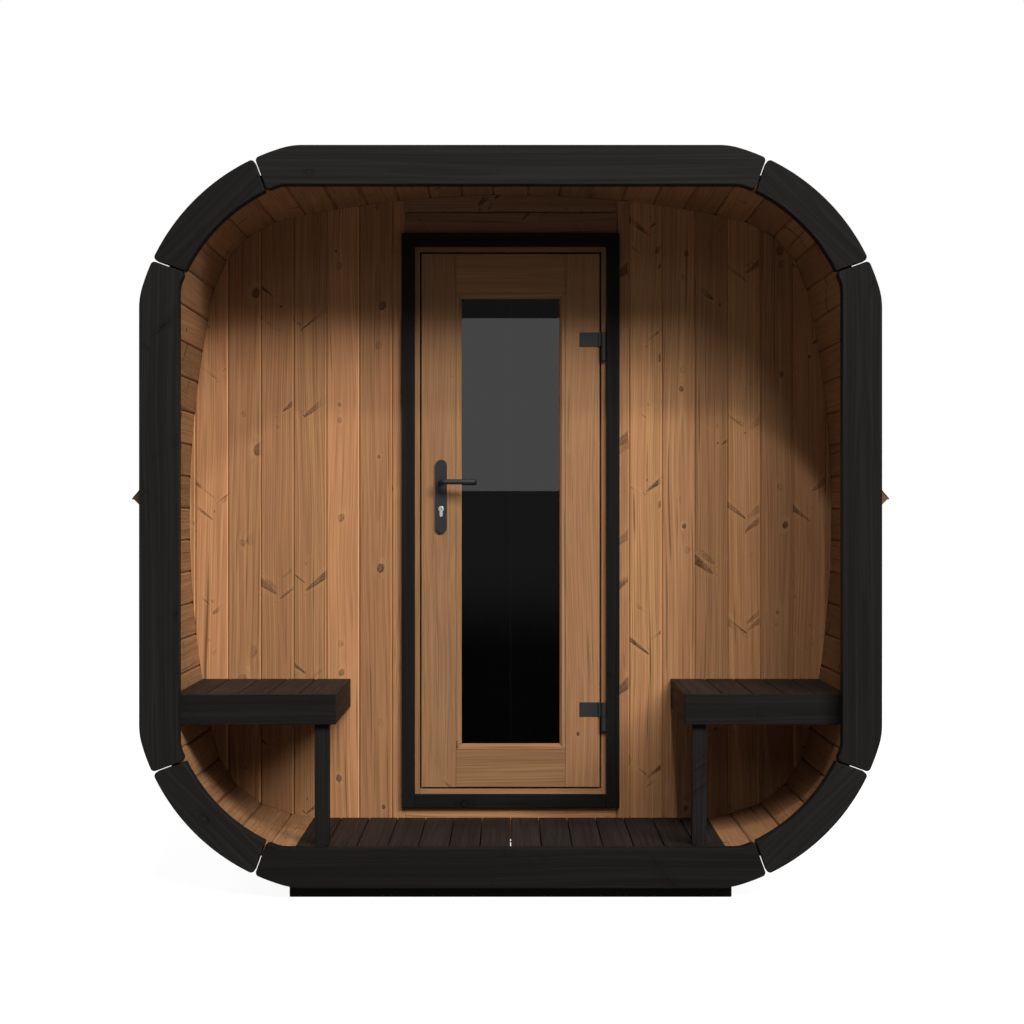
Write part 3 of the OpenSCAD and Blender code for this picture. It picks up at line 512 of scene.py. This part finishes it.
def saw_boards(bm, draw):
    """Gives each board its own place in a log, as attributes that the wood finishes read."""
    grain = bm.verts.layers.float_vector.new("grain")
    board = bm.verts.layers.float_vector.new("board")
    for solid in solids(bm):
        points = np.array([v.co for v in solid])
        middle = (points.min(0) + points.max(0)) / 2
        axes = np.linalg.svd(points - points.mean(0), full_matrices=False)[2]
        lie, side = Vector(axes[0]), Vector(axes[1])
        if lie.z < -0.5 or (abs(lie.z) <= 0.5 and lie.x + lie.y < 0):
            lie = -lie
        through = lie.cross(side)
        offsets = (points - middle) @ np.array(through)
        shown = Vector((0, -1, 0)) if abs(through.y) > 0.5 else AXIS - Vector(middle)
        towards = math.copysign(1.0, through.dot(shown))
        start = draw.uniform(0.0, 60.0)
        depth = draw.uniform(0.04, 0.09)
        if draw.random() < NEAR_PITH:
            depth = max(offsets) + draw.uniform(-0.002, 0.005)
        pith = Vector((start, draw.uniform(-0.022, 0.022), -towards * depth))
        look = Vector((draw.random() ** 2, draw.random(), draw.random() * 50.0))
        for vert in solid:
            place = vert.co - Vector(middle)
            vert[grain] = Vector((place.dot(lie), place.dot(side), place.dot(through))) + pith
            vert[board] = look


def place_piece(bm, name, node, smooth=True):
    """Turns a mesh into a piece with the node's body, slot and finish."""
    for face in bm.faces:
        face.smooth = smooth
    mesh = bpy.data.meshes.new(name)
    bm.to_mesh(mesh)
    bm.free()
    normals = mesh.attributes.get("custom_normal")
    if normals is not None:
        mesh.attributes.remove(normals)
    mesh.materials.append(finish(SLOT_OF[node]))
    piece = bpy.data.objects.new(name, mesh)
    bpy.context.scene.collection.objects.link(piece)
    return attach(piece, frame["nodes"][node]["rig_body"])


def round_edges(piece, width, segments=2, angle=25.0):
    """Rounds the piece's edges and keeps its flat faces flat."""
    bevel = piece.modifiers.new("rounded_edges", "BEVEL")
    bevel.width = width
    bevel.segments = segments
    bevel.limit_method = "ANGLE"
    bevel.angle_limit = math.radians(angle)
    bevel.harden_normals = True


def finish_boards(nodes, rounding, segments=2):
    """Replaces wooden nodes by boards with rounded edges and a grain of their own."""
    seed = bpy.context.scene.cabin_sizes.seed
    for node in nodes:
        bm = merged(node)
        saw_boards(bm, random.Random(f"{seed} {node}"))
        piece = place_piece(bm, node + "_boards", node)
        round_edges(piece, rounding, segments)
        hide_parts(node)


def finish_part(node, rounding, segments=3):
    """Replaces a node of metal or glass by the same shape with rounded edges."""
    piece = place_piece(merged(node), node + "_finished", node)
    round_edges(piece, rounding, segments)
    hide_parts(node)
    return piece


def key_plug(name, face_y, outwards):
    """The turning plug of the lock cylinder, with its slanted key slot, whose shallow inside takes the black coat as
    painted shade.
    """
    low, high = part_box("lock_cylinder")
    middle_x = (low[0] + high[0]) / 2
    middle_z = high[2] - (high[0] - low[0]) / 2
    steps = 32
    slot_long, slot_wide, slant = 0.0042, 0.0011, math.radians(14)

    def circle(radius, out):
        return [(radius * math.cos(a), out, radius * math.sin(a)) for a in turns]

    def slot(out):
        points = []
        for a in turns:
            x, z = slot_wide * math.cos(a), slot_long * math.sin(a)
            points.append((x * math.cos(slant) - z * math.sin(slant), out, x * math.sin(slant) + z * math.cos(slant)))
        return points

    turns = [2 * math.pi * i / steps for i in range(steps)]
    bm = bmesh.new()
    loops = [circle(0.0062, 0.0), circle(0.0062, 0.0005), circle(0.0059, 0.0008), slot(0.0008), slot(0.0001)]
    rings = [
        [bm.verts.new((middle_x + x, face_y + outwards * y, middle_z + z)) for x, y, z in loop] for loop in loops
    ]
    for i, (inner, outer) in enumerate(zip(rings, rings[1:])):
        for j in range(steps):
            k = (j + 1) % steps
            face = bm.faces.new((inner[j], inner[k], outer[k], outer[j]))
            # The slot's walls and floor take the black powder coat: painted shade for the depth of a keyway, since the
            # slot is cut only 0.7 mm deep.
            face.material_index = 1 if i == 3 else 0
    bm.faces.new(rings[-1]).material_index = 1
    bmesh.ops.recalc_face_normals(bm, faces=bm.faces)
    bm.faces.ensure_lookup_table()
    if bm.faces[-1].normal.y * outwards < 0:
        bmesh.ops.reverse_faces(bm, faces=bm.faces)
    piece = place_piece(bm, name, "lock_cylinder", smooth=False)
    # The second material is the painted shade inside the key slot.
    piece.data.materials.append(finish("black_metal"))


def bend_sheet(node, fold, rim, flat=True):
    """Replaces a folded sheet by one whose folds, which run along Y, are round."""
    bm = merged(node, flat)
    folds = [
        edge for edge in bm.edges
        if abs((edge.verts[0].co - edge.verts[1].co).normalized().y) > 0.99
        and len(edge.link_faces) == 2 and math.radians(6) < edge.calc_face_angle() < math.radians(70)
    ]
    bmesh.ops.bevel(
        bm, geom=folds, offset=fold, segments=6, profile=0.5, affect="EDGES", clamp_overlap=False
    )
    piece = place_piece(bm, node + "_sheet", node)
    round_edges(piece, rim, 2, 50.0)
    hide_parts(node)


# Operators

class SaunaOperator:
    """What the cabin's operators share."""

    bl_options = {"REGISTER", "UNDO"}


class SAUNA_OT_rings(SaunaOperator, bpy.types.Operator):
    """Stain the end rings and the skids black"""

    bl_idname = "sauna.rings"
    bl_label = "End Rings and Skids"

    def execute(self, context):
        finish_boards(
            (
                "front_ring_top", "front_ring_bottom", "front_ring_left", "front_ring_right",
                "front_ring_corners", "rear_ring_sides", "rear_ring_corners", "skids",
            ),
            context.scene.cabin_sizes.ring_round, 3,
        )
        return {"FINISHED"}


class SAUNA_OT_shell(SaunaOperator, bpy.types.Operator):
    """Give the staves and drip battens their wood"""

    bl_idname = "sauna.shell"
    bl_label = "Stave Shell"

    def execute(self, context):
        finish_boards(
            ("staves_floor", "staves_right", "staves_roof", "staves_left", "staves_corners", "drip_battens"),
            context.scene.cabin_sizes.board_round,
        )
        # The drip battens take a tint that makes their wood much darker than the rest.
        battens = bpy.data.objects["drip_battens_boards"]
        battens.data.materials[0] = warm_wood("batten_finish", context.scene.cabin_colours.batten_tint, 0.85)
        return {"FINISHED"}


class SAUNA_OT_walls(SaunaOperator, bpy.types.Operator):
    """Give the front and rear wall their wood"""

    bl_idname = "sauna.walls"
    bl_label = "Walls"

    def execute(self, context):
        finish_boards(
            ("front_wall_left", "front_wall_right", "front_wall_header", "front_wall_sill", "back_wall"),
            context.scene.cabin_sizes.board_round,
        )
        # The boards above the door get a darker tint as painted shade under the porch roof.
        header = bpy.data.objects["front_wall_header_boards"]
        header.data.materials[0] = warm_wood("shaded_header_finish", context.scene.cabin_colours.header_painted_shade, 0.85)
        return {"FINISHED"}


class SAUNA_OT_floors(SaunaOperator, bpy.types.Operator):
    """Finish the deck, the cabin floor and the joists"""

    bl_idname = "sauna.floors"
    bl_label = "Floors"

    def execute(self, context):
        finish_boards(("porch_deck", "cabin_floor", "floor_joists"), context.scene.cabin_sizes.board_round)
        return {"FINISHED"}


class SAUNA_OT_benches(SaunaOperator, bpy.types.Operator):
    """Finish the porch benches"""

    bl_idname = "sauna.benches"
    bl_label = "Benches"

    def execute(self, context):
        finish_boards(
            ("bench_left_slats", "bench_left_frame", "bench_right_slats", "bench_right_frame", "bench_legs"),
            context.scene.cabin_sizes.board_round,
        )
        return {"FINISHED"}


class SAUNA_OT_roof(SaunaOperator, bpy.types.Operator):
    """Lay the roof membrane and draw the steel bands round the shell"""

    bl_idname = "sauna.roof"
    bl_label = "Roof and Bands"

    def execute(self, context):
        sizes = context.scene.cabin_sizes
        bend_sheet("roof_membrane", sizes.fold_round, 0.001)
        bend_sheet("shell_bands", sizes.fold_round, 0.0003, flat=False)
        return {"FINISHED"}


class SAUNA_OT_door(SaunaOperator, bpy.types.Operator):
    """Finish the door, its frame and its glass"""

    bl_idname = "sauna.door"
    bl_label = "Door"

    def execute(self, context):
        sizes = context.scene.cabin_sizes
        finish_boards(
            (
                "door_frame", "door_trim", "door_stile_left", "door_stile_right",
                "door_rail_top", "door_rail_bottom", "glazing_beads_outside", "glazing_beads_inside",
            ),
            sizes.board_round,
        )
        finish_part("door_glass", sizes.metal_round)
        return {"FINISHED"}


class SAUNA_OT_ironmongery(SaunaOperator, bpy.types.Operator):
    """Finish the hinges, the lock plates and the levers"""

    bl_idname = "sauna.ironmongery"
    bl_label = "Ironmongery"

    def execute(self, context):
        sizes = context.scene.cabin_sizes
        for node in ("hinge_frame_halves", "hinge_leaf_halves", "lock_cylinder", "lever_outside", "lever_inside"):
            finish_part(node, sizes.metal_round)
        for node in ("lock_plate_outside", "lock_plate_inside"):
            finish_part(node, 2.5 * sizes.metal_round, 4)
        low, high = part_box("lock_cylinder")
        key_plug("key_plug_outside", low[1], -1)
        key_plug("key_plug_inside", high[1], 1)
        return {"FINISHED"}


# Places of the studio, in metres
CAMERA = Vector((0.0, -6.75, 1.079))
LENS = 71.7
FRAME_SIDE = 1024
AXIS_X = 510.6
AXIS_Y = 511.0
LAMP_AWAY = 14.0


class SAUNA_OT_stage(SaunaOperator, bpy.types.Operator):
    """Set up the camera, the lights, the floor and the surroundings"""

    bl_idname = "sauna.stage"
    bl_label = "Studio"

    def execute(self, context):
        light = context.scene.cabin_light
        self.set_camera(context.scene)
        self.set_world(context.scene, light.world, solid_colour(light.sky))
        self.set_floor()
        middle = Vector((0.0, -0.5, 1.2))
        self.set_lamp("front_lamp", light.front, middle, 0.0, 46.0, LAMP_AWAY, (0.7, 0.7))
        self.set_lamp("side_lamp_low", 0.62 * light.side, middle, 24.0, 30.5, LAMP_AWAY, (7.0, 1.4))
        self.set_lamp("side_lamp_high", 0.38 * light.side, middle, 20.0, 38.0, LAMP_AWAY, (6.0, 1.4))
        self.set_lamp("right_lamp", light.right, middle, 40.0, 27.0, LAMP_AWAY, (3.0, 3.0))
        self.set_lamp("fill_lamp", light.fill, middle, 0.0, 17.0, LAMP_AWAY, (6.0, 2.0)).visible_glossy = False
        self.set_lamp("rear_lamp_left", light.rear, Vector((0, 0, 1)), 215.0, 35.0, 8.0, (3.0, 3.0))
        self.set_lamp("rear_lamp_right", light.rear, Vector((0, 0, 1)), 130.0, 30.0, 8.0, (3.0, 3.0))
        self.set_card("low_card", -1.3, 1.3, 0.02, 1.165, (0.45, 0.85), 0.12)
        self.set_card("high_card", -1.3, 1.3, 1.909, 2.3, (0.0, 1.0), 0.09)
        context.scene.view_settings.view_transform = "Standard"
        return {"FINISHED"}

    def set_camera(self, scene):
        data = bpy.data.cameras.new("camera")
        data.lens = LENS
        data.sensor_width = 36.0
        data.shift_x = (FRAME_SIDE / 2 - AXIS_X) / FRAME_SIDE
        data.shift_y = (AXIS_Y - FRAME_SIDE / 2) / FRAME_SIDE
        data.clip_end = 200.0
        camera = bpy.data.objects.new("camera", data)
        camera.location = CAMERA
        camera.rotation_euler = (math.radians(90), 0.0, 0.0)
        scene.collection.objects.link(camera)
        scene.camera = camera

    def set_world(self, scene, strength, sky):
        """Plain surroundings that look white where they are seen and light the cabin more weakly."""
        world = bpy.data.worlds.new("surroundings")
        world.use_nodes = True
        scene.world = world
        g = Graph(world.node_tree)
        seen = seen_rays(g)
        background = world.node_tree.nodes["Background"]
        g.feed(background.inputs["Color"], g.blend(seen, sky, solid_colour((1.0, 1.0, 1.0))))
        g.feed(background.inputs["Strength"], g.fade(seen, 0.0, 1.0, strength, 1.0))

    def set_floor(self):
        """A pale floor that looks white apart from the cabin's shadow."""
        material = bpy.data.materials.new("pale_floor")
        material.use_nodes = True
        g = Graph(material.node_tree)
        shader = material.node_tree.nodes["Principled BSDF"].inputs
        shader["Base Color"].default_value = (0.16, 0.16, 0.16, 1.0)
        shader["Roughness"].default_value = 0.9
        shader["Specular IOR Level"].default_value = 0.0
        shader["Emission Color"].default_value = (1.0, 1.0, 1.0, 1.0)
        distance = g.add("ShaderNodeVectorMath", g.add("ShaderNodeTexCoord", out=3), operation="LENGTH", out=1)
        g.feed(shader["Emission Strength"], g.times(seen_rays(g), g.fade(distance, 3.0, 9.0, 0.94, 1.0)))
        bm = bmesh.new()
        bmesh.ops.create_grid(bm, x_segments=1, y_segments=1, size=60.0)
        self.set_stage_mesh(bm, "floor", material)

    def set_card(self, name, x0, x1, z0, z1, glow_heights, glow):
        """A dark card in front of the cabin, seen only in its reflections, that glows faintly towards its top."""
        material = bpy.data.materials.new(name)
        material.use_nodes = True
        g = Graph(material.node_tree)
        shader = material.node_tree.nodes["Principled BSDF"].inputs
        shader["Base Color"].default_value = (0, 0, 0, 1)
        shader["Specular IOR Level"].default_value = 0.0
        shader["Emission Color"].default_value = (1, 1, 1, 1)
        height = g.split(g.add("ShaderNodeTexCoord", out=3))[2]
        g.feed(shader["Emission Strength"], g.fade(height, glow_heights[0], glow_heights[1], 0.0, glow))
        card_y = -3.0
        bm = bmesh.new()
        corners = [bm.verts.new((x, card_y, z)) for x, z in ((x0, z0), (x1, z0), (x1, z1), (x0, z1))]
        bm.faces.new(corners)
        card = self.set_stage_mesh(bm, name, material)
        card.visible_camera = False
        card.visible_diffuse = False
        card.visible_shadow = False
        card.visible_transmission = False

    def set_stage_mesh(self, bm, name, material):
        mesh = bpy.data.meshes.new(name)
        bm.to_mesh(mesh)
        bm.free()
        mesh.materials.append(material)
        made = bpy.data.objects.new(name, mesh)
        bpy.context.scene.collection.objects.link(made)
        return made

    def set_lamp(self, name, power, target, azimuth, elevation, distance, size):
        """A flat lamp that faces the target. Azimuth 0 is in front and 90 on the right."""
        a, e = math.radians(azimuth), math.radians(elevation)
        away = Vector((math.sin(a) * math.cos(e), -math.cos(a) * math.cos(e), math.sin(e)))
        data = bpy.data.lights.new(name, "AREA")
        data.energy = power
        data.shape = "RECTANGLE"
        data.size, data.size_y = size
        lamp = bpy.data.objects.new(name, data)
        lamp.location = target + away * distance
        lamp.rotation_mode = "QUATERNION"
        lamp.rotation_quaternion = (-away).to_track_quat("-Z", "Y")
        bpy.context.scene.collection.objects.link(lamp)
        return lamp


def seen_rays(g):
    """1 for rays from the camera, reflections and glass, and 0 for rays that only carry light."""
    node = g.tree.nodes.new("ShaderNodeLightPath")
    seen = g.math("MAXIMUM", node.outputs["Is Camera Ray"], node.outputs["Is Glossy Ray"])
    return g.math("MAXIMUM", seen, node.outputs["Is Transmission Ray"])


class SAUNA_PT_panel(bpy.types.Panel):
    """Lists the cabin's sizes, colours and steps"""

    bl_label = "Sauna Cabin"
    bl_idname = "SAUNA_PT_panel"
    bl_space_type = "VIEW_3D"
    bl_region_type = "UI"
    bl_category = "Sauna Cabin"

    def draw(self, context):
        for group in (context.scene.cabin_sizes, context.scene.cabin_colours, context.scene.cabin_light):
            box = self.layout.box()
            for name in group.bl_rna.properties.keys():
                if name not in ("rna_type", "name"):
                    box.prop(group, name)
        for operator in OPERATORS:
            self.layout.operator(operator.bl_idname)


OPERATORS = (
    SAUNA_OT_stage, SAUNA_OT_rings, SAUNA_OT_shell, SAUNA_OT_walls, SAUNA_OT_floors,
    SAUNA_OT_benches, SAUNA_OT_roof, SAUNA_OT_door, SAUNA_OT_ironmongery,
)
GROUPS = {"cabin_sizes": CabinSizes, "cabin_colours": CabinColours, "cabin_light": CabinLight}


def register():
    for made in (*GROUPS.values(), *OPERATORS, SAUNA_PT_panel):
        bpy.utils.register_class(made)
    for name, group in GROUPS.items():
        setattr(bpy.types.Scene, name, PointerProperty(type=group))


def unregister():
    for name in GROUPS:
        delattr(bpy.types.Scene, name)
    for made in reversed((*GROUPS.values(), *OPERATORS, SAUNA_PT_panel)):
        bpy.utils.unregister_class(made)


def main():
    register()
    bpy.ops.sauna.stage()
    bpy.ops.sauna.rings()
    bpy.ops.sauna.shell()
    bpy.ops.sauna.walls()
    bpy.ops.sauna.floors()
    bpy.ops.sauna.benches()
    bpy.ops.sauna.roof()
    bpy.ops.sauna.door()
    bpy.ops.sauna.ironmongery()


if __name__ == "__main__":
    main()
